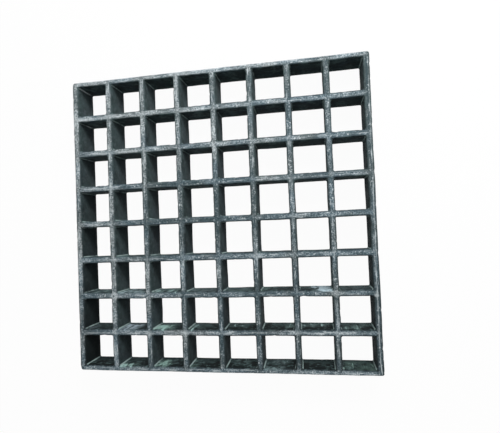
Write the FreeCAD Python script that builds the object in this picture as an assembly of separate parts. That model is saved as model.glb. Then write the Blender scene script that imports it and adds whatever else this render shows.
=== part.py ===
"""Moulded fibreglass grating: a square-mesh panel of tapered bars, cast in one piece.

The panel lies flat with its walking face up. The origin is at the middle of the underside, and +Z is up.
"""

import FreeCAD
import Part
import math
import os

from FreeCAD import Vector

# Driving dimensions, in millimetres
PITCH = 38.0  # bar centre to bar centre, both ways
CELL_COUNT_X = 8  # openings along X
CELL_COUNT_Y = 8  # openings along Y
DEPTH = 30.0  # underside to walking face
BAR_TOP = 6.5  # width of a bar at the walking face, before its edges are eased
BAR_BOTTOM = 5.0  # width of a bar at the underside
EDGE_X = 3.25  # reach of the end bars out from their centre lines, along X
EDGE_Y = 2.0  # the same along Y, where the panel is trimmed closer
CELL_RADIUS = 1.2  # upright corners of an opening, at the walking face
PANEL_RADIUS = 2.5  # upright corners of the panel, at the walking face
CORNER_FLATS = 2  # flats that turn each upright corner
TOP_EASE = 0.8  # bevel along every edge of the walking face
BLOCK_OVER = 1.0  # how far a mould block stands past both faces of the panel

# Sizes that follow from them
DRAFT = (BAR_TOP - BAR_BOTTOM) / 2 / DEPTH  # lean of every upright wall, for each millimetre of depth
CELL = PITCH - BAR_TOP
PANEL_X = CELL_COUNT_X * PITCH + 2 * EDGE_X
PANEL_Y = CELL_COUNT_Y * PITCH + 2 * EDGE_Y


def outline(size_x, size_y, radius, out, z):
    """Points round a rectangle with turned corners, set outward by out on all sides, at height z."""
    points = []
    for quarter, (side_x, side_y) in enumerate(((1, 1), (-1, 1), (-1, -1), (1, -1))):
        centre = Vector(side_x * (size_x / 2 - radius), side_y * (size_y / 2 - radius), z)
        for step in range(CORNER_FLATS + 1):
            angle = math.pi / 2 * (quarter + step / CORNER_FLATS)
            points.append(centre + Vector(math.cos(angle), math.sin(angle), 0) * (radius + out))
    return points


def flat_loft(levels):
    """Solid through a stack of like outlines, with a flat side between each pair of edges."""
    faces = [Part.Face(Part.makePolygon(loop + loop[:1])) for loop in (levels[0], levels[-1])]
    for low, high in zip(levels, levels[1:]):
        for a, b, c, d in zip(low, low[1:] + low[:1], high[1:] + high[:1], high):
            faces.append(Part.Face(Part.makePolygon([a, b, c, d, a])))
    shell = Part.makeShell(faces)
    shell.sewShape()
    solid = Part.makeSolid(shell)
    if solid.Volume < 0:
        solid.reverse()
    return solid


def blank():
    """The panel before its openings: outer walls drafted like the bars, top edge eased."""
    return flat_loft([
        outline(PANEL_X, PANEL_Y, PANEL_RADIUS, -DRAFT * DEPTH, 0),
        outline(PANEL_X, PANEL_Y, PANEL_RADIUS, -DRAFT * TOP_EASE, DEPTH - TOP_EASE),
        outline(PANEL_X, PANEL_Y, PANEL_RADIUS, -TOP_EASE, DEPTH),
    ])


def mould_block():
    """The block that forms one opening: it widens downward with the draft and flares at the walking face."""
    return flat_loft([
        outline(CELL, CELL, CELL_RADIUS, DRAFT * (DEPTH + BLOCK_OVER), -BLOCK_OVER),
        outline(CELL, CELL, CELL_RADIUS, DRAFT * TOP_EASE, DEPTH - TOP_EASE),
        outline(CELL, CELL, CELL_RADIUS, TOP_EASE + BLOCK_OVER, DEPTH + BLOCK_OVER),
    ])


def cell_centres():
    """The middle of every opening."""
    for i in range(CELL_COUNT_X):
        for j in range(CELL_COUNT_Y):
            yield Vector((i + 0.5 - CELL_COUNT_X / 2) * PITCH, (j + 0.5 - CELL_COUNT_Y / 2) * PITCH, 0)


def grating_panel():
    """The finished panel: the blank with a mould block taken out at every opening."""
    block = mould_block()
    return blank().cut([block.translated(centre) for centre in cell_centres()]).Solids[0]


def main():
    os.makedirs("parts", exist_ok=True)
    grating_panel().exportStep("parts/grating_panel.step")


main()
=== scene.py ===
"""Moulded fibreglass grating: the finished panel, its worn surface, and a pale stage for it."""

import math
from collections import namedtuple

import bmesh
import bpy
from mathutils import Matrix, Vector, noise


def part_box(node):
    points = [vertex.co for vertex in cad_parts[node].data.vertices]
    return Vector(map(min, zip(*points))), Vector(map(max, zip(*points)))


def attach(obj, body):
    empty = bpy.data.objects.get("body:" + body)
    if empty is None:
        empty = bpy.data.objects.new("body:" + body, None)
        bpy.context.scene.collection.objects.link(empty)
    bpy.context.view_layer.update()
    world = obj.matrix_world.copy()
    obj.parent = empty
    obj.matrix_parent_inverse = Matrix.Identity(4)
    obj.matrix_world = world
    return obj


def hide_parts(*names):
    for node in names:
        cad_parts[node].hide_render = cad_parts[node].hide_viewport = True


bl_info = {
    "name": "Moulded Grating",
    "version": (1, 0, 0),
    "blender": (4, 5, 0),
    "location": "3D View > Sidebar > Grating",
    "description": "Builds a worn moulded fibreglass grating panel and a plain stage for it",
    "category": "Object",
}

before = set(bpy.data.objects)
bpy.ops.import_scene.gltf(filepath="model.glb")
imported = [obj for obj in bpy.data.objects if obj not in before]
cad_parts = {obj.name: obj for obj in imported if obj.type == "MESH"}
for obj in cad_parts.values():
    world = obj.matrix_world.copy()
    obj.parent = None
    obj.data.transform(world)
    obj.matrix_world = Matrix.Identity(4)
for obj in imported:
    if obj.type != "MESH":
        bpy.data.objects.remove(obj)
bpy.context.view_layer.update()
PANEL_LOW, PANEL_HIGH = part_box("grating_panel")

MM = 0.001
CLOSE = 0.01 * MM  # places nearer to each other than this count as one

# How finely one opening's ring of bars is divided
RUN_STEPS = 8  # along half a side
TURN_STEPS = 4  # round an upright corner
QUARTER_STEPS = 2 * RUN_STEPS + TURN_STEPS
TOP_STEPS = 3  # from a bar's centre line to its eased edge
EASE_STEPS = 3  # round the eased edge
WALL_STEPS = 7  # down a wall
UNDER_SHARES = (0, 0.5, 1)  # across the underside, from the wall to the centre line
CORNER_CUTS = 2  # extra points beside each corner of the panel
LEAST_TURN = 0.3 * MM  # smallest radius left at a corner of the panel

# What is noted on every point of the mesh for the resin to read
MARKS = ("from_middle", "runs_along_y", "upright_corner", "scuffed_and_sheen", "scuff_lean", "scored",
         "rubbed_and_highlight", "spared")
CROSSING_TURN = 1.5 * MM  # width beside a crossing's diagonal where one bar gives way to the other

# Smooth unevenness: the size of its lumps, and a seed that says where in the noise it is taken from
Lumps = namedtuple("Lumps", "size seed")
SEED_Y, SEED_Z = 1.7, 0.6  # turn one seed into a shift along three axes
LONG_STRAY = Lumps(55 * MM, 3.1), Lumps(55 * MM, 8.7)  # of the bars, along X and along Y
SHORT_STRAY = Lumps(13 * MM, 2.2), Lumps(13 * MM, 9.4)
SHORT_STRAY_SHARE = 0.5
TOP_PITS = Lumps(2.4 * MM, 1.3)
TOP_LUMPS = Lumps(9 * MM, 5.9)
TOP_PITS_SHARE, TOP_LUMPS_SHARE = 0.65, 0.35
EDGE_CHIPS = Lumps(4.5 * MM, 7.7)
CHIP_ZONE = (0.45, 0.75)  # where chips set in and are full, as shares of half a bar
CHIP_BITE = (0.15, 0.6)  # the noise that starts a chip and makes a full one
WALL_WAVES = Lumps(11 * MM, 6.4)
WALL_GRAIN = Lumps(3 * MM, 4.8)
WALL_WAVES_SHARE, WALL_GRAIN_SHARE = 0.5, 0.3
SCUFF_AND_SHEEN_RAG_DOWN = Lumps(7 * MM, 4.4)
SCUFF_AND_SHEEN_RAG_ALONG = Lumps(6 * MM, 1.9)
SCUFF_AND_SHEEN_RAG_DOWN_SHARE, SCUFF_AND_SHEEN_RAG_ALONG_SHARE = 0.14, 0.09

# Rubbed stretches of the walls that face +Y, partly scrapes and partly painted sheen where those
# walls catch the light: the opening's column from the left and row from the top, the stretch along
# the wall and down it as shares, how strong the rubbing is, and how far it leans to blue
ScuffAndSheen = namedtuple("ScuffAndSheen", "column row start end top foot strength lean")
SCUFFS_AND_SHEEN = (
    ScuffAndSheen(1, 6, 0.15, 0.85, 0.05, 0.95, 0.42, 0.4),
    ScuffAndSheen(2, 6, 0.10, 0.85, 0.00, 0.95, 0.70, 0.7),
    ScuffAndSheen(3, 6, 0.10, 0.85, 0.00, 0.95, 0.62, 0.3),
    ScuffAndSheen(4, 6, 0.10, 0.90, 0.00, 0.95, 0.36, 0.8),
    ScuffAndSheen(5, 6, 0.10, 0.90, 0.00, 0.95, 0.26, 0.4),
    ScuffAndSheen(6, 6, 0.05, 0.40, 0.00, 0.95, 0.32, 0.1),
    ScuffAndSheen(7, 6, 0.36, 0.66, 0.45, 1.05, 0.95, 0.8),
    ScuffAndSheen(7, 6, 0.56, 0.94, -0.05, 1.10, 1.30, 0.9),
    ScuffAndSheen(8, 6, 0.10, 0.90, 0.00, 0.95, 0.14, 0.7),
    ScuffAndSheen(1, 7, 0.05, 0.35, 0.10, 0.60, 0.38, 0.9),
    ScuffAndSheen(2, 7, 0.08, 0.60, 0.00, 0.80, 0.95, 1.0),
    ScuffAndSheen(3, 7, 0.06, 0.60, 0.00, 0.66, 1.00, 0.1),
    ScuffAndSheen(4, 7, 0.12, 0.30, 0.00, 0.75, 0.66, 0.3),
    ScuffAndSheen(5, 7, 0.10, 0.60, 0.35, 0.95, 0.30, 0.4),
    ScuffAndSheen(6, 7, 0.70, 1.00, 0.30, 1.00, 0.75, 0.3),
    ScuffAndSheen(7, 7, 0.10, 0.90, 0.40, 1.00, 0.42, 0.4),
    ScuffAndSheen(8, 7, 0.15, 0.65, 0.05, 0.60, 0.52, 0.4),
    ScuffAndSheen(8, 7, 0.60, 0.95, 0.40, 0.95, 0.40, 0.3),
    ScuffAndSheen(2, 8, 0.05, 0.50, -0.10, 0.32, 0.92, 0.2),
    ScuffAndSheen(3, 8, 0.06, 0.48, 0.05, 0.72, 0.95, 0.0),
    ScuffAndSheen(4, 8, 0.10, 0.24, 0.00, 0.80, 0.48, 0.0),
    ScuffAndSheen(5, 8, 0.30, 0.60, 0.55, 0.95, 0.38, 0.4),
    ScuffAndSheen(6, 8, 0.30, 0.70, 0.45, 0.95, 0.55, 0.3),
    ScuffAndSheen(6, 8, 0.10, 0.65, -0.10, 0.22, 0.50, 0.6),
    ScuffAndSheen(8, 8, 0.15, 0.90, 0.05, 0.95, 0.34, 0.0),
)
SCUFF_AND_SHEEN_REACH = (0.25, 1.6)  # of half a bar, from its centre line: the wall and a little of the top
SCUFF_AND_SHEEN_ENDS = (0.1, 0.12)  # how softly a stretch of scuff and painted sheen starts and ends along the wall
SCUFF_AND_SHEEN_RIMS = (0.12, 0.15)  # and at its top and foot

# Long scores in the tops of bars: whether the bar runs along Y, which centre line from the middle
# of the panel, the stretch along it in pitches from the middle, how far off the centre line in
# millimetres, and how strong
Score = namedtuple("Score", "along_y line start end offset strength")
SCORES = (
    Score(True, 4, -3.9, -1.2, 0.0, 0.80),
    Score(True, 4, 0.6, 3.8, 1.4, 0.60),
    Score(True, 3, -3.6, -2.2, 0.0, 0.45),
    Score(True, 4, -1.0, 0.7, 0.7, 0.75),
    Score(True, -2, 1.0, 3.8, 0.0, 0.30),
    Score(True, -3, -0.8, 1.6, -0.7, 0.30),
    Score(True, 0, 1.0, 3.8, 0.0, 0.28),
    Score(True, 2, -0.9, 0.9, 0.0, 0.30),
    Score(False, 3, -3.9, -1.2, 0.0, 0.40),
    Score(False, 3, 1.6, 3.9, -0.7, 0.30),
    Score(False, 2, 1.1, 3.9, 0.0, 0.22),
    Score(False, 1, 1.8, 3.8, -0.7, 0.22),
    Score(False, 2, -3.9, -2.3, -0.7, 0.60),
    Score(False, 1, -3.9, -3.1, 0.0, 0.45),
    Score(False, -3, 1.8, 3.8, 0.0, 0.38),
    Score(False, -3, -3.9, -1.8, -0.7, 0.60),
    Score(False, -3, -1.5, 1.4, 0.0, 0.60),
    Score(False, -1, -3.9, -1.4, 0.0, 0.35),
)
SCORE_REACH = 0.5 * MM  # how near to its line a score is drawn, across and down
SCORE_ENDS = (0.15, 0.15)

# Places where the tops of the bars are less worn: X and Y of the middle and the reach both ways, in
# millimetres, and how far wear has spared them
Spared = namedtuple("Spared", "x y reach_x reach_y share")
SPARED_PLACES = (
    Spared(-30, 8, 92, 64, 1.00),
    Spared(105, 95, 85, 85, 0.50),
    Spared(-150, -105, 25, 60, 0.50),
    Spared(38, -105, 25, 55, 0.45),
    Spared(0, -76, 200, 14, 0.20),
)
SPARED_FADE = (0.4, 1.0)  # shares of the reach between which the sparing fades

# Crossings that are rubbed pale: X and Y and the reach of the rubbing, in millimetres, and how
# strong it is
Rub = namedtuple("Rub", "x y reach strength")
RUBS = (
    Rub(-114, -76, 4.0, 1.00),
    Rub(-76.5, -115, 3.6, 0.55),
    Rub(-38, -114.5, 3.4, 0.60),
    Rub(-114.5, -113, 3.0, 0.40),
    Rub(38.5, -38, 3.0, 0.50),
    Rub(114, -76.5, 3.2, 0.55),
    Rub(151.5, -78, 2.6, 0.70),
    Rub(76, -114, 3.0, 0.35),
    Rub(114, -115, 3.0, 0.40),
    Rub(114.5, 38.5, 2.8, 0.35),
)
RUB_FADE = (0.5, 1.2)

# Upright corners that are rubbed pale and carry a painted highlight where the corner catches the
# light: X and Y in millimetres, the stretch down the corner as shares of the depth, and how strong
# the rubbing and highlight are
CornerRubAndHighlight = namedtuple("CornerRubAndHighlight", "x y top foot strength")
CORNER_RUBS_AND_HIGHLIGHTS = (
    CornerRubAndHighlight(-148.7, 148.7, 0.12, 0.80, 1.00),
    CornerRubAndHighlight(-148.7, 110.7, 0.50, 0.85, 0.80),
    CornerRubAndHighlight(-148.7, 72.7, 0.55, 0.90, 0.35),
)
CORNER_RUB_AND_HIGHLIGHT_REACH = 2.5  # in millimetres
CORNER_RUB_AND_HIGHLIGHT_ENDS = (0.1, 0.1)
CORNER_RUB_AND_HIGHLIGHT_BELOW = 0.05  # share of the depth that stays clear below the walking face

# A small dent in the middle of the palest crossing, darkened with painted shade
DENT_PLACE = Vector((-115, -76.3, 30)) * MM
DENT_RADIUS = 1.6 * MM
DENT_DEPTH = 0.5 * MM
DENT_FLOOR = 0.3  # share of the radius that is full depth
DENT_SHADE = 0.5  # share of the radius that is full painted shade

# Noise in the resin's colour: how fine it is, how many finer layers it has and how strong those are
Grain = namedtuple("Grain", "scale detail roughness")
GRIT = Grain(980.0, 3.0, 0.6)
STREAKS = Grain(520.0, 2.0, 0.6)
SCRATCHES = Grain(800.0, 1.0, 0.5)
PATCHES = Grain(42.0, 2.0, 0.55)
HUES = Grain(30.0, 2.0, 0.5)
MOTTLE = Grain(130.0, 4.0, 0.6)
CLOUDS = Grain(75.0, 5.0, 0.72)
SPECKS = Grain(190.0, 3.0, 0.6)
SMUDGES = Grain(170.0, 3.0, 0.6)
SCRAPES = Grain(380.0, 3.0, 0.6)
USUAL_NOISE = (0.3, 0.7)  # where nearly all of a noise's values lie

# How far a noise is drawn out: its scale along the bar, or down the wall, as a share of its scale
# across
STREAK_DRAW = 0.3
SCRATCH_DRAW = 0.08
SMUDGE_DRAW = (1.0, 1.0, 0.5)
SCRAPE_DRAW = (1.0, 1.0, 0.14)

# Scattered dots of bared glass: how close together, where a dot ends and is full, and which of the
# dots' random shades make none of it and all of it
DOT_SCALE, DOT_EDGE, DOT_HEART = 370.0, 0.40, 0.16
DOT_STRENGTH = (0.3, 0.8)

# Shares that the resin's nodes take
GRIT_SHARE, STREAK_SHARE = 0.70, 0.30  # in the tone of a bar's top
SCRAPE_GAIN = 0.40  # how far scuffing brings out the scrapes
RIGHT_HALF = (0.35, 0.65)  # where the panel's left half passes into its right half
TOP_TURN = (1.4, 0.9)  # of the eased edge, below the walking face: the wall ends, the top starts
WALL_RISE = 0.5  # relief of the walls beside that of the tops

# Relief and sheen that the resin's nodes add
BUMP_STRENGTH = 0.6
BUMP_HEIGHT = 0.35 * MM
RESIN_IOR = 1.5
RESIN_SPECULAR = 0.06

# The stage, in metres
FLOOR_DROP = 0.1 * MM  # keeps the floor clear of the underside
FLOOR_GREY = (0.8, 0.8, 0.8, 1)
WHITE = (1, 1, 1, 1)
LIGHT_AIM = Vector((0, 0.03, 0))
KEY_PLACE, KEY_SIZE = (0.15, 0.5, 0.5), (0.34, 0.22)
FILL_PLACE, FILL_SIZE = (0.62, 0.3, 0.45), (0.45, 0.45)
CAMERA_PLACE = (0.09199, -0.01100, 0.39468)
CAMERA_TURN = Vector((0.02074, 0.15881, -0.04230))  # axis of its turn, as long as the angle
CAMERA_SHIFT_Y = 0.0064
CAMERA_CLIP = (0.01, 20.0)
SENSOR_WIDTH = 36.0  # in millimetres


class GratingSizes(bpy.types.PropertyGroup):
    """Sizes of the moulded panel."""

    pitch: bpy.props.FloatProperty(
        name="Pitch", description="Bar centre to bar centre",
        default=38.0 * MM, unit="LENGTH", precision=5)
    count_x: bpy.props.IntProperty(
        name="Openings along X", description="Openings in a row", default=8, min=1)
    count_y: bpy.props.IntProperty(
        name="Openings along Y", description="Openings in a column", default=8, min=1)
    depth: bpy.props.FloatProperty(
        name="Depth", description="Underside to walking face",
        default=PANEL_HIGH.z - PANEL_LOW.z, unit="LENGTH", precision=5)
    panel_x: bpy.props.FloatProperty(
        name="Panel along X", description="Outer face to outer face",
        default=PANEL_HIGH.x - PANEL_LOW.x, unit="LENGTH", precision=5)
    panel_y: bpy.props.FloatProperty(
        name="Panel along Y", description="Outer face to outer face",
        default=PANEL_HIGH.y - PANEL_LOW.y, unit="LENGTH", precision=5)
    bar_top: bpy.props.FloatProperty(
        name="Bar at the top", description="Bar width at the walking face",
        default=6.5 * MM, unit="LENGTH", precision=5)
    bar_bottom: bpy.props.FloatProperty(
        name="Bar at the bottom", description="Bar width at the underside",
        default=5.0 * MM, unit="LENGTH", precision=5)
    cell_radius: bpy.props.FloatProperty(
        name="Opening corner", description="Radius of an opening's upright corners",
        default=1.2 * MM, unit="LENGTH", precision=5)
    panel_radius: bpy.props.FloatProperty(
        name="Panel corner", description="Radius of the panel's upright corners",
        default=2.5 * MM, unit="LENGTH", precision=5)
    top_ease: bpy.props.FloatProperty(
        name="Top edge", description="Rounding along every edge of the walking face",
        default=1.1 * MM, unit="LENGTH", precision=5)
    bottom_ease: bpy.props.FloatProperty(
        name="Bottom edge", description="Softening along every edge of the underside",
        default=0.25 * MM, unit="LENGTH", precision=5)
    wander: bpy.props.FloatProperty(
        name="Wander", description="How far a bar strays from its straight line",
        default=0.35 * MM, unit="LENGTH", precision=5)
    relief: bpy.props.FloatProperty(
        name="Relief", description="Depth of the pits and lumps on the walking face",
        default=0.22 * MM, unit="LENGTH", precision=5)
    chip: bpy.props.FloatProperty(
        name="Chips", description="Depth of the chips along the top edges",
        default=0.45 * MM, unit="LENGTH", precision=5)


class GratingFinish(bpy.types.PropertyGroup):
    """Colours of the worn resin, and of the painted shade, light and highlights laid on it."""

    resin: bpy.props.FloatVectorProperty(
        name="Resin", description="Moulded walls",
        subtype="COLOR", size=3, min=0, max=1, default=(0.042, 0.066, 0.067))
    resin_deep: bpy.props.FloatVectorProperty(
        name="Deep resin", description="Darkest parts of the walls",
        subtype="COLOR", size=3, min=0, max=1, default=(0.0148, 0.0238, 0.0243))
    # Painted shade: a dark colour laid on the walls in place of shadow, heavier towards -Y.
    painted_shade: bpy.props.FloatVectorProperty(
        name="Grime", description="Damp dirt on the walls of one side",
        subtype="COLOR", size=3, min=0, max=1, default=(0.0098, 0.0140, 0.0145))
    slate: bpy.props.FloatVectorProperty(
        name="Slate", description="Walls where the resin leans to blue",
        subtype="COLOR", size=3, min=0, max=1, default=(0.045, 0.064, 0.078))
    bloom: bpy.props.FloatVectorProperty(
        name="Bloom", description="Chalky bloom on the walls",
        subtype="COLOR", size=3, min=0, max=1, default=(0.108, 0.165, 0.166))
    # Used for dust specks and also for painted light low on the walls that face along X.
    dust_and_painted_light: bpy.props.FloatVectorProperty(
        name="Dust", description="Greyer bloom on the walls that face along X",
        subtype="COLOR", size=3, min=0, max=1, default=(0.142, 0.172, 0.186))
    # Partly scrape colour, partly painted sheen on the walls that face +Y.
    scuff_and_sheen: bpy.props.FloatVectorProperty(
        name="ScuffAndSheen", description="Scrapes on the walls",
        subtype="COLOR", size=3, min=0, max=1, default=(0.36, 0.57, 0.51))
    slate_scuff_and_sheen: bpy.props.FloatVectorProperty(
        name="Slate scuff", description="Scrapes where the resin leans to blue",
        subtype="COLOR", size=3, min=0, max=1, default=(0.44, 0.55, 0.62))
    # Partly worn resin, partly a painted highlight on the upright corners that catch the light.
    corner: bpy.props.FloatVectorProperty(
        name="Corner", description="Worn upright corners of the openings",
        subtype="COLOR", size=3, min=0, max=1, default=(0.33, 0.43, 0.42))
    crown_dark: bpy.props.FloatVectorProperty(
        name="Dark crown", description="Less worn parts of a bar's top",
        subtype="COLOR", size=3, min=0, max=1, default=(0.045, 0.070, 0.078))
    crown_grey: bpy.props.FloatVectorProperty(
        name="Grey crown", description="Worn top of a bar",
        subtype="COLOR", size=3, min=0, max=1, default=(0.198, 0.227, 0.235))
    crown_slate: bpy.props.FloatVectorProperty(
        name="Slate crown", description="Worn top where the resin leans to blue",
        subtype="COLOR", size=3, min=0, max=1, default=(0.150, 0.208, 0.244))
    # Pale flecks of bared glass, also used for the painted highlight on the rubbed upright corners.
    fleck_and_highlight: bpy.props.FloatVectorProperty(
        name="Fleck", description="Pale flecks of bared glass",
        subtype="COLOR", size=3, min=0, max=1, default=(0.58, 0.64, 0.66))


class GratingStage(bpy.types.PropertyGroup):
    """Light, floor and camera."""

    floor_size: bpy.props.FloatProperty(
        name="Floor", description="Width of the floor", default=6.0, unit="LENGTH")
    floor_shade: bpy.props.FloatProperty(
        name="Shadow share", description="How much of the floor's own shading shows",
        default=0.035, min=0, max=1)
    key_power: bpy.props.FloatProperty(
        name="Key light", description="Power of the main soft light", default=4.45, unit="POWER")
    fill_power: bpy.props.FloatProperty(
        name="Fill light", description="Power of the side light", default=1.5, unit="POWER")
    sky: bpy.props.FloatProperty(
        name="Sky", description="Strength of the even light all round", default=0.3, min=0)
    lens: bpy.props.FloatProperty(
        name="Lens", description="Focal length in millimetres", default=26.766)


def ring_point(index, half, radius, square=False):
    """Point of a ring round an opening: a square of that half width with turned or sharp corners."""
    quarter, step = divmod(index, QUARTER_STEPS)
    straight = half - radius
    if step <= RUN_STEPS:
        out, along = half, straight * step / RUN_STEPS
    elif step < RUN_STEPS + TURN_STEPS:
        angle = math.pi / 2 * (step - RUN_STEPS) / TURN_STEPS
        reach = radius / max(math.cos(angle), math.sin(angle)) if square else radius
        out, along = straight + reach * math.cos(angle), straight + reach * math.sin(angle)
    else:
        out, along = straight * (QUARTER_STEPS - step) / RUN_STEPS, half
    return Matrix.Rotation(math.pi / 2 * quarter, 2) @ Vector((-along, out))


def corner_share(index):
    """1 on the middle line of an upright corner, falling to 0 on the walls beside it."""
    step = index % QUARTER_STEPS
    return max(0.0, 1.0 - abs(step - RUN_STEPS - TURN_STEPS / 2) / (TURN_STEPS / 2))


def bar_levels(sizes):
    """Rings that wrap half a bar, from its centre line over the top, down the wall and underneath.

    Each is the share of the centre line in it, how far it stands outside the opening's size, the
    radius of its corners and its height.
    """
    draft = (sizes.bar_top - sizes.bar_bottom) / 2 / sizes.depth
    ease, foot, turn = sizes.top_ease, sizes.bottom_ease, sizes.cell_radius
    levels = [(1 - k / TOP_STEPS, ease, turn + ease, sizes.depth) for k in range(TOP_STEPS + 1)]
    for k in range(1, EASE_STEPS + 1):
        angle = math.pi / 2 * k / EASE_STEPS
        out = ease * (1 - math.sin(angle))
        levels.append((0, out, turn + out, sizes.depth - ease * (1 - math.cos(angle))))
    for k in range(1, WALL_STEPS + 1):
        z = sizes.depth - ease + (foot - sizes.depth + ease) * k / WALL_STEPS
        levels.append((0, draft * (sizes.depth - z), turn, z))
    under = draft * sizes.depth + foot
    levels += [(share, under, turn + foot, 0) for share in UNDER_SHARES]
    return levels


def new_verts(geometry):
    """The vertices in what a bmesh operator made."""
    return [g for g in geometry if isinstance(g, bmesh.types.BMVert)]


def next_ring(bm, ring):
    """Extrudes a closed ring of vertices and gives the new ring in the same order."""
    edges = [bm.edges.get((a, b)) for a, b in zip(ring, ring[1:] + ring[:1])]
    fresh = set(new_verts(bmesh.ops.extrude_edge_only(bm, edges=edges)["geom"]))
    return [next(e.other_vert(v) for e in v.link_edges if e.other_vert(v) in fresh) for v in ring]


def make_cell(bm, sizes, corner_layer):
    """The bars round one opening, out to their centre lines."""
    half = (sizes.pitch - sizes.bar_top) / 2
    straight = half - sizes.cell_radius
    count = 4 * QUARTER_STEPS
    ring = bmesh.ops.create_circle(
        bm, cap_ends=False, segments=count, radius=sizes.pitch / 2)["verts"]
    for number, (share, out, turn, z) in enumerate(bar_levels(sizes)):
        if number:
            ring = next_ring(bm, ring)
        for i, v in enumerate(ring):
            edge = ring_point(i, half + out, turn)
            middle = ring_point(i, sizes.pitch / 2, sizes.pitch / 2 - straight, square=True)
            v.co = edge.lerp(middle, share).to_3d()
            v.co.z = z
            v[corner_layer] = corner_share(i)


def weld_open_edges(bm):
    """Joins points of the open edges that lie on each other."""
    bmesh.ops.remove_doubles(bm, verts=[v for v in bm.verts if v.is_boundary], dist=CLOSE)


def repeat_cell(bm, sizes):
    """Copies the first opening over the whole panel and welds the bars along their centre lines."""
    cell = bm.verts[:] + bm.edges[:] + bm.faces[:]
    start = Vector((-(sizes.count_x - 1) / 2, -(sizes.count_y - 1) / 2, 0)) * sizes.pitch
    for i in range(sizes.count_x):
        for j in range(sizes.count_y):
            if i or j:
                copy = bmesh.ops.duplicate(bm, geom=cell)["geom"]
                place = start + Vector((i, j, 0)) * sizes.pitch
                bmesh.ops.translate(bm, verts=new_verts(copy), vec=place)
    bmesh.ops.translate(bm, verts=new_verts(cell), vec=start)
    weld_open_edges(bm)


def rim_ring(bm, z):
    """The open edge of the mesh at that height, in order round the panel."""
    verts = {v for v in bm.verts if v.is_boundary and abs(v.co.z - z) < CLOSE}
    first = min(verts, key=lambda v: (v.co.x + v.co.y, v.co.x))
    ring, last = [first], None
    while True:
        here = ring[-1]
        ways = [e.other_vert(here) for e in here.link_edges if e.is_boundary]
        ways = [w for w in ways if w is not last and w in verts]
        step = min(ways, key=lambda w: w.co.y) if last is None else ways[0]
        if step is first:
            return ring
        ring.append(step)
        last = here


def half_grid(sizes):
    """From the middle of the panel to the centre lines of its end bars, along X and along Y."""
    return sizes.count_x * sizes.pitch / 2, sizes.count_y * sizes.pitch / 2


def cut_corners(bm, sizes):
    """Adds points beside the corners of the open edges, so that the panel's corners can turn."""
    end_x, end_y = half_grid(sizes)
    corners = [v for v in bm.verts if v.is_boundary
               and abs(abs(v.co.x) - end_x) < CLOSE and abs(abs(v.co.y) - end_y) < CLOSE]
    edges = [e for v in corners for e in v.link_edges if e.is_boundary]
    bmesh.ops.subdivide_edges(bm, edges=edges, cuts=CORNER_CUTS)


def rim_point(start, sizes, inset):
    """Where a point of the open edge lies on the panel's outer outline, set inward by inset."""
    half_x, half_y = sizes.panel_x / 2 - inset, sizes.panel_y / 2 - inset
    radius = max(sizes.panel_radius - inset, LEAST_TURN)
    end_x, end_y = half_grid(sizes)
    x, y = start.x * half_x / end_x, start.y * half_y / end_y
    centre = Vector((math.copysign(half_x - radius, x), math.copysign(half_y - radius, y)))
    away = Vector((x, y)) - centre
    if away.x * x > 0 and away.y * y > 0:
        return centre + away.normalized() * radius
    return Vector((x, y))


def panel_corner_share(start, sizes):
    """A half at a corner of the panel, falling to 0 along its sides."""
    end_x, end_y = half_grid(sizes)
    corner = Vector((math.copysign(end_x, start.x), math.copysign(end_y, start.y)))
    return 0.5 * max(0.0, 1.0 - (start.to_2d() - corner).length / sizes.panel_radius)


def close_rim(bm, sizes, corner_layer):
    """Adds the outer half of the edge bars: top, eased edge, drafted outer wall and underside."""
    cut_corners(bm, sizes)
    ring = rim_ring(bm, sizes.depth)
    starts = [v.co.copy() for v in ring]
    for share, out, _, z in bar_levels(sizes)[1:]:
        ring = next_ring(bm, ring)
        for v, start in zip(ring, starts):
            place = rim_point(start, sizes, out).lerp(start.to_2d(), share).to_3d()
            place.z = z
            v.co = place
            v[corner_layer] = panel_corner_share(start, sizes)
    weld_open_edges(bm)


def order_faces(bm):
    """Puts the faces in the order of their points, so that every run gives the same list."""
    bm.verts.index_update()
    count = len(bm.verts)

    def by_points(face):
        first, second, third = sorted(v.index for v in face.verts)[:3]
        return (first * count + second) * count + third

    bm.faces.sort(key=by_points)


def line_offset(along, pitch, count):
    """How far a place lies from the nearest bar's centre line."""
    step = along / pitch + count / 2
    return abs(step - round(step)) * pitch


def smooth_step(value, low, high):
    """0 below low, 1 above high, with an easy curve between them."""
    share = min(max((value - low) / (high - low), 0.0), 1.0)
    return share * share * (3 - 2 * share)


def between(value, start, end, soft):
    """1 from start to end and 0 beyond them, with ends as soft as the pair says."""
    rise, fall = soft
    return (smooth_step(value, start - rise, start + rise)
            * (1 - smooth_step(value, end - fall, end + fall)))


def swing(place, lumps):
    """Smooth noise from about -1 to 1 over lumps of that size."""
    shift = Vector((lumps.seed, lumps.seed * SEED_Y, lumps.seed * SEED_Z))
    return noise.noise(place / lumps.size + shift)


def mark_bars(bm, sizes, marks):
    """Notes on every point how far it is from its bar's centre line and which way the bar runs."""
    half = sizes.bar_top / 2
    end_x, end_y = half_grid(sizes)
    for v in bm.verts:
        off_x = line_offset(v.co.x, sizes.pitch, sizes.count_x)
        off_y = line_offset(v.co.y, sizes.pitch, sizes.count_y)
        past_x, past_y = abs(v.co.x) - end_x, abs(v.co.y) - end_y
        middle, lean = min(off_x, off_y), off_y - off_x
        if max(past_x, past_y) > CLOSE:
            middle, lean = max(past_x, past_y), past_x - past_y
        v[marks["from_middle"]] = middle / half
        v[marks["runs_along_y"]] = smooth_step(lean, -CROSSING_TURN, CROSSING_TURN)


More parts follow.
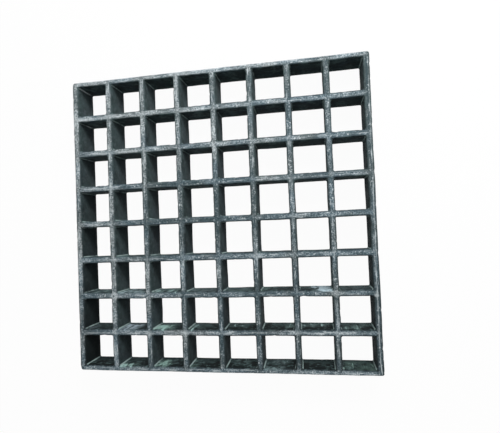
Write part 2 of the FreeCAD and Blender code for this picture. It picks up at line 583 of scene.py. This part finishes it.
def mark_spared(bm, layer):
    """Notes how far wear has spared the listed places."""
    for spot in SPARED_PLACES:
        for v in bm.verts:
            x, y = v.co.x / MM - spot.x, v.co.y / MM - spot.y
            away = Vector((x / spot.reach_x, y / spot.reach_y)).length
            v[layer] = max(v[layer], spot.share * (1 - smooth_step(away, *SPARED_FADE)))


def mark_scuffs_and_sheen(bm, sizes, layer, lean_layer):
    """Rubs the listed stretches of the walls that face +Y, partly scrapes and partly painted sheen.
    """
    nearest, furthest = (share * sizes.bar_top / 2 for share in SCUFF_AND_SHEEN_REACH)
    for scuff_and_sheen in SCUFFS_AND_SHEEN:
        left = (scuff_and_sheen.column - 1 - sizes.count_x / 2) * sizes.pitch
        line = (sizes.count_y / 2 - scuff_and_sheen.row) * sizes.pitch
        for v in bm.verts:
            along = (v.co.x - left) / sizes.pitch
            if nearest < v.co.y - line < furthest and 0 < along < 1:
                depth = 1 - v.co.z / sizes.depth
                depth += SCUFF_AND_SHEEN_RAG_DOWN_SHARE * swing(v.co, SCUFF_AND_SHEEN_RAG_DOWN)
                along += SCUFF_AND_SHEEN_RAG_ALONG_SHARE * swing(v.co, SCUFF_AND_SHEEN_RAG_ALONG)
                share = between(along, scuff_and_sheen.start, scuff_and_sheen.end, SCUFF_AND_SHEEN_ENDS)
                share *= between(depth, scuff_and_sheen.top, scuff_and_sheen.foot, SCUFF_AND_SHEEN_RIMS)
                v[layer] = max(v[layer], scuff_and_sheen.strength * share)
                v[lean_layer] = scuff_and_sheen.lean


def mark_scores(bm, sizes, layer):
    """Draws the listed scores along the tops of the bars."""
    for score in SCORES:
        across, run = (0, 1) if score.along_y else (1, 0)
        for v in bm.verts:
            off = v.co[across] - score.line * sizes.pitch - score.offset * MM
            if abs(off) < SCORE_REACH and v.co.z > sizes.depth - SCORE_REACH:
                share = between(v.co[run] / sizes.pitch, score.start, score.end, SCORE_ENDS)
                v[layer] = max(v[layer], score.strength * share)


def mark_rubs(bm, sizes, layer):
    """Rubs the listed crossings."""
    for rub in RUBS:
        for v in bm.verts:
            away = (v.co.xy / MM - Vector((rub.x, rub.y))).length / rub.reach
            if v.co.z > sizes.depth - 2 * sizes.top_ease:
                v[layer] = max(v[layer], rub.strength * (1 - smooth_step(away, *RUB_FADE)))


def mark_corner_rubs_and_highlights(bm, sizes, layer):
    """Rubs the listed upright corners and lays a painted highlight on them."""
    for rub in CORNER_RUBS_AND_HIGHLIGHTS:
        for v in bm.verts:
            depth = 1 - v.co.z / sizes.depth
            away = (v.co.xy / MM - Vector((rub.x, rub.y))).length
            if away < CORNER_RUB_AND_HIGHLIGHT_REACH and depth > CORNER_RUB_AND_HIGHLIGHT_BELOW:
                share = between(depth, rub.top, rub.foot, CORNER_RUB_AND_HIGHLIGHT_ENDS)
                v[layer] = max(v[layer], rub.strength * share)


def bar_stray(place, sizes):
    """How far a bar strays from its straight line."""
    stray = Vector((*(swing(place, lumps) for lumps in LONG_STRAY), 0)) * sizes.wander
    short = Vector((*(swing(place, lumps) for lumps in SHORT_STRAY), 0))
    return stray + short * SHORT_STRAY_SHARE * sizes.wander


def top_bump(place, from_middle, sizes):
    """Pits, lumps, chips and the dent in the top of a bar."""
    pit = 0.5 + 0.5 * swing(place, TOP_PITS)
    lump = 0.5 + 0.5 * swing(place, TOP_LUMPS)
    bump = -sizes.relief * (TOP_PITS_SHARE * pit + TOP_LUMPS_SHARE * lump)
    at_edge = smooth_step(from_middle, *CHIP_ZONE)
    bump -= sizes.chip * at_edge * smooth_step(swing(place, EDGE_CHIPS), *CHIP_BITE)
    from_dent = (place - DENT_PLACE).length
    return bump - DENT_DEPTH * (1 - smooth_step(from_dent, DENT_FLOOR * DENT_RADIUS, DENT_RADIUS))


def wall_bump(place, sizes):
    """The ripple of a cast wall."""
    waves = WALL_WAVES_SHARE * swing(place, WALL_WAVES)
    return sizes.relief * (waves + WALL_GRAIN_SHARE * swing(place, WALL_GRAIN))


def weather(bm, sizes, marks):
    """Lets the bars stray a little, pits and chips their tops, and ripples the walls."""
    bm.normal_update()
    moves = []
    for v in bm.verts:
        if v.co.z > sizes.depth - sizes.top_ease - CLOSE:
            bump = top_bump(v.co, v[marks["from_middle"]], sizes)
        elif v.co.z < sizes.bottom_ease - CLOSE:
            bump = 0
        else:
            bump = wall_bump(v.co, sizes)
        moves.append(bar_stray(v.co, sizes) + v.normal * bump)
    for v, move in zip(bm.verts, moves):
        v.co += move
        v.co.z = min(v.co.z, sizes.depth)


class Shader:
    """Short calls for adding and joining a material's nodes."""

    def __init__(self, material):
        material.use_nodes = True
        self.tree = material.node_tree
        self.tree.nodes.clear()

    def add(self, kind, inputs=None, **settings):
        """A new node, with its settings made and its inputs set or joined."""
        node = self.tree.nodes.new("ShaderNode" + kind)
        for name, value in settings.items():
            setattr(node, name, value)
        for name, value in (inputs or {}).items():
            self.set(node.inputs[name], value)
        return node

    def set(self, socket, value):
        """Joins another node's output to a socket, or sets a plain value on it."""
        if isinstance(value, bpy.types.NodeSocket):
            self.tree.links.new(value, socket)
        else:
            socket.default_value = value

    def fold(self, operation, first, *others):
        """Joins all the values by one operation, in order."""
        for other in others:
            first = self.add("Math", {0: first, 1: other}, operation=operation).outputs[0]
        return first

    def total(self, *values):
        return self.fold("ADD", *values)

    def times(self, *values):
        return self.fold("MULTIPLY", *values)

    def largest(self, *values):
        return self.fold("MAXIMUM", *values)

    def span(self, value, low, high, to_low=0.0, to_high=1.0):
        """Spreads low to high evenly over two other values, and stops at them."""
        return self.add("MapRange", {
            "Value": value, "From Min": low, "From Max": high,
            "To Min": to_low, "To Max": to_high}).outputs["Result"]

    def sway(self, value, to_low, to_high):
        """Spreads a noise over two other values."""
        return self.span(value, *USUAL_NOISE, to_low, to_high)

    def noise(self, vector, grain):
        return self.add("TexNoise", {
            "Vector": vector, "Scale": grain.scale, "Detail": grain.detail,
            "Roughness": grain.roughness}).outputs["Fac"]

    def stretch(self, vector, scale):
        return self.add("Mapping", {"Vector": vector, "Scale": scale}).outputs["Vector"]

    def distance(self, vector, place):
        return self.add(
            "VectorMath", {0: vector, 1: place}, operation="DISTANCE").outputs["Value"]

    def dots(self, vector):
        """Scattered round dots of uneven strength."""
        node = self.add(
            "TexVoronoi", {"Vector": vector, "Scale": DOT_SCALE, "Randomness": 1.0})
        shape = self.span(node.outputs["Distance"], DOT_EDGE, DOT_HEART)
        return self.times(shape, self.span(node.outputs["Color"], *DOT_STRENGTH))

    def join_mix(self, kind, type_name, share, a, b):
        """Mixes two colours or two numbers."""
        node = self.add("Mix", data_type=kind)
        sockets = {s.identifier: s for s in node.inputs}
        self.set(sockets["Factor_Float"], share)
        self.set(sockets["A_" + type_name], a)
        self.set(sockets["B_" + type_name], b)
        return next(s for s in node.outputs if s.identifier == "Result_" + type_name)

    def mix(self, share, a, b):
        """From colour a to colour b."""
        a, b = (c if isinstance(c, bpy.types.NodeSocket) else (*c, 1.0) for c in (a, b))
        return self.join_mix("RGBA", "Color", share, a, b)

    def blend(self, share, a, b):
        """From number a to number b."""
        return self.join_mix("FLOAT", "Float", share, a, b)


class Resin(Shader):
    """Dark moulded resin: bloomed and scraped walls, and bars worn to pale, flecked crowns, with
    painted shade, light and highlights on them.
    """

    def __init__(self, material, sizes, finish):
        super().__init__(material)
        self.sizes, self.finish = sizes, finish
        self.place = self.add("TexCoord").outputs["Object"]
        parts = self.add("SeparateXYZ", {"Vector": self.place}).outputs
        self.x, self.y, self.z = parts["X"], parts["Y"], parts["Z"]
        self.mark = {
            name: self.add("Attribute", attribute_name=name).outputs["Fac"] for name in MARKS}
        self.along_y = self.mark["runs_along_y"]
        self.on_x_bars = self.span(self.along_y, 0.6, 0.4)
        self.across = self.span(self.x, -sizes.panel_x / 2, sizes.panel_x / 2)
        self.deep = self.span(self.z, sizes.depth, 0.0)
        self.low_side = self.span(self.y, 0.0, -sizes.panel_y / 2)

        self.grit = self.noise(self.place, GRIT)
        self.streaks = self.drawn_along_bar(STREAKS, STREAK_DRAW)
        self.patches = self.noise(self.place, PATCHES)
        self.mottle = self.noise(self.place, MOTTLE)
        self.clouds = self.noise(self.place, CLOUDS)
        self.specks = self.span(self.noise(self.place, SPECKS), 0.53, 0.66, 0.0, 0.75)
        self.hue = self.blue_lean()
        self.worn_grey = self.mix(self.hue, finish.crown_grey, finish.crown_slate)

    def drawn_along_bar(self, grain, draw):
        """Noise drawn out along the bar that a point is on."""
        along_x = self.noise(self.stretch(self.place, (draw, 1.0, 1.0)), grain)
        along_y = self.noise(self.stretch(self.place, (1.0, draw, 1.0)), grain)
        return self.blend(self.along_y, along_x, along_y)

    def blue_lean(self):
        """How far the resin leans to blue: more to the right and to -Y, and on the bars along X."""
        half = self.sizes.panel_y / 2
        lean = self.total(
            self.noise(self.place, HUES),
            self.span(self.across, 0.0, 1.0, -0.03, 0.03),
            self.span(self.y, half, -half, -0.09, 0.07),
            self.span(self.along_y, 0.0, 1.0, 0.06, -0.03))
        return self.span(lean, 0.40, 0.60)

    def crown_tone(self):
        """How worn a bar's top is: fine grit and streaks, and slow changes over the panel, with
        painted light that makes the tops paler towards +Y and to the left, and painted shade towards
        -Y and on the outer part of the last bar at the right.
        """
        panel_y = self.sizes.panel_y
        spared = self.times(
            self.mark["spared"], self.span(self.along_y, 0.0, 1.0, -0.115, -0.075))
        # Painted light and shade: paler towards +Y and to the left, darker towards -Y and on the
        # right end bar.
        painted_light_upper_x_bars = self.span(self.y, 0.1 * panel_y, panel_y / 2, 0.017, 0.056)
        painted_light_left_y_bars = self.span(self.across, 0.0, 1.0, 0.048, -0.038)
        painted_shade_lower_y_bars = self.times(
            self.along_y, self.span(self.y, -0.1 * panel_y, -panel_y / 2, 0.0, -0.025))
        painted_shade_last_bar = self.span(self.across, 0.965, 0.985, 0.0, -0.05)
        return self.total(
            self.times(self.grit, GRIT_SHARE), self.times(self.streaks, STREAK_SHARE),
            self.sway(self.patches, -0.06, 0.06), spared,
            self.blend(self.along_y, painted_light_upper_x_bars, painted_light_left_y_bars), painted_shade_lower_y_bars, painted_shade_last_bar)

    def crown_colour(self, tone):
        """The worn top of a bar, with scratches, bared glass, scores, rubs, and a dent darkened with
        painted shade.
        """
        finish = self.finish
        greyed = self.span(tone, 0.39, 0.56)
        flecked = self.span(tone, 0.53, 0.69)
        scratches = self.drawn_along_bar(SCRATCHES, SCRATCH_DRAW)
        scratched = self.times(
            self.span(scratches, 0.61, 0.70, 0.0, 0.8),
            self.span(self.mark["spared"], 0.0, 1.0, 1.0, 0.3))
        bared = self.times(
            self.dots(self.place), self.span(self.patches, 0.38, 0.55, 0.4, 1.0))
        scored = self.times(
            self.mark["scored"], self.span(self.streaks, 0.38, 0.58, 0.25, 1.0))
        rubbed_and_highlight = self.times(
            self.mark["rubbed_and_highlight"], self.span(self.grit, 0.38, 0.56, 0.25, 1.0))
        crown = self.mix(greyed, finish.crown_dark, self.worn_grey)
        for share in (flecked, scratched, bared, scored, rubbed_and_highlight):
            crown = self.mix(share, crown, finish.fleck_and_highlight)
        # Painted shade in the dent.
        from_dent = self.distance(self.place, DENT_PLACE)
        dent_shade = self.span(from_dent, DENT_RADIUS, DENT_SHADE * DENT_RADIUS, 0.0, 0.8)
        return self.mix(dent_shade, crown, finish.crown_dark)

    def cast_wall(self):
        """Mottled resin with a chalky bloom, dust specks on the walls that face along X, and painted
        light that makes those walls paler deeper down.
        """
        finish = self.finish
        moulded = self.mix(self.hue, finish.resin, finish.slate)
        lighter = self.span(self.mottle, 0.35, 0.65)
        wall = self.mix(lighter, finish.resin_deep, moulded)
        crisp_bloom = self.span(self.clouds, 0.48, 0.64, 0.0, 0.7)
        soft_bloom = self.span(self.clouds, 0.40, 0.70, 0.0, 0.45)
        wall = self.mix(self.blend(self.along_y, crisp_bloom, soft_bloom), wall, finish.bloom)
        # Painted light: the walls that face along X turn paler towards the underside, as if lit from
        # below.
        painted_light_at_depth = self.times(self.along_y, self.span(self.deep, 0.0, 1.0, 0.08, 0.5))
        wall = self.mix(painted_light_at_depth, wall, finish.dust_and_painted_light)
        dusty = self.times(self.specks, self.span(self.along_y, 0.4, 0.6, 0.0, 0.5))
        return self.mix(dusty, wall, finish.dust_and_painted_light)

    def paint_shade_towards_low_y(self, wall):
        """Painted shade on the walls, heavier towards -Y, on the first columns and at the right."""
        panel_y = self.sizes.panel_y
        # Painted shade: walls darker towards -Y, on the first columns and at the right, a little
        # less deep down.
        first_bars = self.span(self.across, 0.14, 0.04, 0.3, 1.0)
        right_bars = self.span(self.across, 0.30, 0.50, 0.3, 0.6)
        by_row = self.span(self.y, 0.35 * panel_y, -0.45 * panel_y, 0.0, 0.95)
        on_y_bars = self.times(by_row, self.largest(first_bars, right_bars))
        higher_at_right = self.span(self.across, *RIGHT_HALF, 0.0, 0.12)
        by_row = self.span(self.total(self.low_side, higher_at_right), 0.33, 0.85, 0.0, 0.97)
        by_depth = self.span(self.deep, 0.15, 0.8, 1.0, 0.65)
        stronger_at_right = self.span(self.across, *RIGHT_HALF, 1.08, 1.35)
        on_x_bars = self.times(by_row, by_depth, stronger_at_right)
        return self.mix(self.blend(self.along_y, on_x_bars, on_y_bars), wall, self.finish.painted_shade)

    def pale_low_band(self, wall):
        """Paler low on the walls towards -Y along a ragged line, and specks; less of both on the
        outer wall.
        """
        here = self.times(self.low_side, self.on_x_bars)
        wavy = self.total(self.deep, self.sway(self.mottle, -0.4, 0.4))
        below_line = self.span(wavy, 0.50, 0.76, 0.0, 0.62)
        less_at_left = self.span(self.across, 0.0, 0.5, 0.45, 1.0)
        less_in_last_rows = self.span(self.low_side, 0.78, 0.95, 1.0, 0.5)
        paler_low = self.times(below_line, here, less_at_left, less_in_last_rows)
        wall = self.mix(paler_low, wall, self.finish.bloom)
        less_outside = self.span(self.low_side, 0.972, 0.992, 1.0, 0.45)
        return self.mix(self.times(self.specks, here, less_outside), wall, self.finish.bloom)

    def scuffs_and_sheen(self, wall):
        """Smears and drawn scrapes where the walls are marked, partly real scrapes and partly
        painted sheen.
        """
        scuffed_and_sheen = self.mark["scuffed_and_sheen"]
        colour = self.mix(
            self.mark["scuff_lean"], self.finish.scuff_and_sheen, self.finish.slate_scuff_and_sheen)
        smudges = self.noise(self.stretch(self.place, SMUDGE_DRAW), SMUDGES)
        smeared = self.span(smudges, 0.36, 0.62, 0.0, 0.5)
        wall = self.mix(self.times(smeared, scuffed_and_sheen, self.on_x_bars), wall, colour)
        scrapes = self.noise(self.stretch(self.place, SCRAPE_DRAW), SCRAPES)
        scrapes = self.total(scrapes, self.times(scuffed_and_sheen, SCRAPE_GAIN))
        scraped = self.span(scrapes, 0.74, 0.88)
        uneven = self.span(smudges, 0.34, 0.48, 0.4, 1.0)
        return self.mix(self.times(scraped, uneven, self.on_x_bars), wall, colour)

    def corner_lines_and_highlights(self, wall):
        """Pale lines down the upright corners: worn in places, partly a painted highlight where the
        corners catch the light, and brightest where rubbed and lit.
        """
        corner = self.mark["upright_corner"]
        # Painted highlight in part: more of the pale line towards -Y and at the right, where the
        # corners are seen lit.
        more_below = self.span(self.low_side, 0.2, 1.0, 0.0, 0.09)
        more_at_right = self.span(self.across, 0.82, 0.96, 0.0, 0.14)
        bare = self.span(self.total(self.clouds, more_below, more_at_right), 0.37, 0.55)
        under_crown = self.span(self.deep, 0.02, 0.09)
        worn = self.times(self.span(corner, 0.0, 0.5), bare, under_crown)
        wall = self.mix(worn, wall, self.finish.corner)
        rubbed_and_highlight = self.times(self.mark["rubbed_and_highlight"], self.span(corner, 0.0, 0.25))
        return self.mix(rubbed_and_highlight, wall, self.finish.fleck_and_highlight)

    def finish_skin(self):
        """Sets the worn crowns on the walls along a ragged edge, and joins all to the output."""
        tone = self.crown_tone()
        crown = self.crown_colour(tone)
        wall = self.corner_lines_and_highlights(self.scuffs_and_sheen(self.pale_low_band(self.paint_shade_towards_low_y(self.cast_wall()))))
        ragged = self.total(
            self.mark["from_middle"], self.sway(self.streaks, 0.10, -0.10),
            self.sway(self.patches, 0.09, -0.09), self.sway(self.grit, 0.12, -0.12),
            self.span(self.across, 0.0, 1.0, -0.10, 0.06))
        depth, ease = self.sizes.depth, self.sizes.top_ease
        wall_ends, top_starts = (depth - share * ease for share in TOP_TURN)
        on_top = self.span(self.z, wall_ends, top_starts)
        shoulder = self.span(ragged, 1.05, 0.6)
        paler_on_x_bars = self.span(self.on_x_bars, 0.0, 1.0, 0.12, 0.4)
        wall = self.mix(self.times(shoulder, paler_on_x_bars, on_top), wall, self.worn_grey)
        worn = self.times(self.span(ragged, 0.70, 0.34), on_top)
        wall_rough = self.sway(self.mottle, 0.75, 0.95)
        crown_rough = self.span(tone, 0.4, 0.6, 0.7, 0.92)
        rough = self.blend(worn, wall_rough, crown_rough)
        rise = self.blend(worn, self.times(self.mottle, WALL_RISE), tone)
        bump = self.add(
            "Bump", {"Strength": BUMP_STRENGTH, "Distance": BUMP_HEIGHT, "Height": rise})
        skin = self.add("BsdfPrincipled", {
            "Base Color": self.mix(worn, wall, crown), "Roughness": rough, "IOR": RESIN_IOR,
            "Specular IOR Level": RESIN_SPECULAR, "Normal": bump.outputs["Normal"]})
        self.add("OutputMaterial", {"Surface": skin.outputs["BSDF"]})


def white_to_camera(shader, own, share):
    """Plain white to camera, glossy and transmitted rays, with a share of its own shading kept."""
    path = shader.add("LightPath").outputs
    seen = shader.largest(
        path["Is Camera Ray"], path["Is Glossy Ray"], path["Is Transmission Ray"])
    white = shader.add("Emission", {"Color": WHITE, "Strength": 1.0}).outputs[0]
    shown = shader.times(seen, 1.0 - share)
    return shader.add("MixShader", {0: shown, 1: own, 2: white}).outputs[0]


def new_object(scene, name, data):
    """An object at the origin of the scene."""
    thing = bpy.data.objects.new(name, data)
    scene.collection.objects.link(thing)
    return thing


class GRATING_OT_panel(bpy.types.Operator):
    """Build the moulded panel with its worn surface"""

    bl_idname = "grating.panel"
    bl_label = "Build Panel"

    def execute(self, context):
        sizes, finish = context.scene.grating_sizes, context.scene.grating_finish
        bm = bmesh.new()
        for name in MARKS:
            bm.verts.layers.float.new(name)
        marks = {name: bm.verts.layers.float[name] for name in MARKS}
        make_cell(bm, sizes, marks["upright_corner"])
        repeat_cell(bm, sizes)
        close_rim(bm, sizes, marks["upright_corner"])
        if any(v.is_boundary for v in bm.verts):
            raise RuntimeError("the panel's mesh isn't closed")
        order_faces(bm)
        bmesh.ops.recalc_face_normals(bm, faces=bm.faces)
        mark_bars(bm, sizes, marks)
        mark_spared(bm, marks["spared"])
        mark_scuffs_and_sheen(bm, sizes, marks["scuffed_and_sheen"], marks["scuff_lean"])
        mark_scores(bm, sizes, marks["scored"])
        mark_rubs(bm, sizes, marks["rubbed_and_highlight"])
        mark_corner_rubs_and_highlights(bm, sizes, marks["rubbed_and_highlight"])
        weather(bm, sizes, marks)
        for face in bm.faces:
            face.smooth = True
        mesh = bpy.data.meshes.new("moulded_panel")
        bm.to_mesh(mesh)
        bm.free()
        material = bpy.data.materials.new("moulded_resin")
        Resin(material, sizes, finish).finish_skin()
        mesh.materials.append(material)
        panel = new_object(context.scene, "moulded_panel", mesh)
        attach(panel, "root")
        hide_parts("grating_panel")
        return {"FINISHED"}


class GRATING_OT_stage(bpy.types.Operator):
    """Lay the floor and set the light and the camera"""

    bl_idname = "grating.stage"
    bl_label = "Set Stage"

    def execute(self, context):
        scene, stage = context.scene, context.scene.grating_stage
        self.lay_floor(scene, stage)
        self.hang_light(scene, "key", KEY_PLACE, KEY_SIZE, stage.key_power)
        self.hang_light(scene, "fill", FILL_PLACE, FILL_SIZE, stage.fill_power)
        self.set_sky(scene, stage)
        self.set_camera(scene, stage)
        scene.view_settings.view_transform = "Standard"
        return {"FINISHED"}

    def lay_floor(self, scene, stage):
        bm = bmesh.new()
        bmesh.ops.create_grid(bm, x_segments=1, y_segments=1, size=stage.floor_size / 2)
        bmesh.ops.translate(bm, verts=bm.verts, vec=(0, 0, -FLOOR_DROP))
        mesh = bpy.data.meshes.new("floor")
        bm.to_mesh(mesh)
        bm.free()
        material = bpy.data.materials.new("pale_floor")
        shader = Shader(material)
        own = shader.add("BsdfDiffuse", {"Color": FLOOR_GREY}).outputs[0]
        shader.add(
            "OutputMaterial", {"Surface": white_to_camera(shader, own, stage.floor_shade)})
        mesh.materials.append(material)
        new_object(scene, "floor", mesh)

    def hang_light(self, scene, name, place, size, power):
        lamp = bpy.data.lights.new(name, "AREA")
        lamp.shape = "RECTANGLE"
        lamp.size, lamp.size_y = size
        lamp.energy = power
        light = new_object(scene, name, lamp)
        light.location = place
        light.rotation_euler = (LIGHT_AIM - light.location).to_track_quat("-Z", "Y").to_euler()

    def set_sky(self, scene, stage):
        world = bpy.data.worlds.new("even_sky")
        scene.world = world
        shader = Shader(world)
        own = shader.add("Background", {"Color": WHITE, "Strength": stage.sky}).outputs[0]
        shader.add("OutputWorld", {"Surface": white_to_camera(shader, own, 0.0)})

    def set_camera(self, scene, stage):
        lens = bpy.data.cameras.new("camera")
        lens.sensor_fit = "HORIZONTAL"
        lens.sensor_width = SENSOR_WIDTH
        lens.lens = stage.lens
        lens.shift_y = CAMERA_SHIFT_Y
        lens.clip_start, lens.clip_end = CAMERA_CLIP
        camera = new_object(scene, "camera", lens)
        camera.location = CAMERA_PLACE
        camera.rotation_mode = "QUATERNION"
        turn = Matrix.Rotation(CAMERA_TURN.length, 3, CAMERA_TURN.normalized())
        camera.rotation_quaternion = turn.to_quaternion()
        scene.camera = camera


class GRATING_PT_sidebar(bpy.types.Panel):
    """Lists the sizes, colours and steps"""

    bl_idname = "GRATING_PT_sidebar"
    bl_label = "Moulded Grating"
    bl_space_type = "VIEW_3D"
    bl_region_type = "UI"
    bl_category = "Grating"

    def draw(self, context):
        scene = context.scene
        for group in (scene.grating_sizes, scene.grating_finish, scene.grating_stage):
            box = self.layout.box()
            for name in group.bl_rna.properties.keys():
                if name not in ("rna_type", "name"):
                    box.prop(group, name)
        for operator in (GRATING_OT_panel, GRATING_OT_stage):
            self.layout.operator(operator.bl_idname)


CLASSES = (
    GratingSizes, GratingFinish, GratingStage,
    GRATING_OT_panel, GRATING_OT_stage, GRATING_PT_sidebar,
)


def register():
    for item in CLASSES:
        bpy.utils.register_class(item)
    bpy.types.Scene.grating_sizes = bpy.props.PointerProperty(type=GratingSizes)
    bpy.types.Scene.grating_finish = bpy.props.PointerProperty(type=GratingFinish)
    bpy.types.Scene.grating_stage = bpy.props.PointerProperty(type=GratingStage)


def unregister():
    del bpy.types.Scene.grating_stage
    del bpy.types.Scene.grating_finish
    del bpy.types.Scene.grating_sizes
    for item in reversed(CLASSES):
        bpy.utils.unregister_class(item)


def main():
    register()
    bpy.ops.grating.panel()
    bpy.ops.grating.stage()


if __name__ == "__main__":
    main()
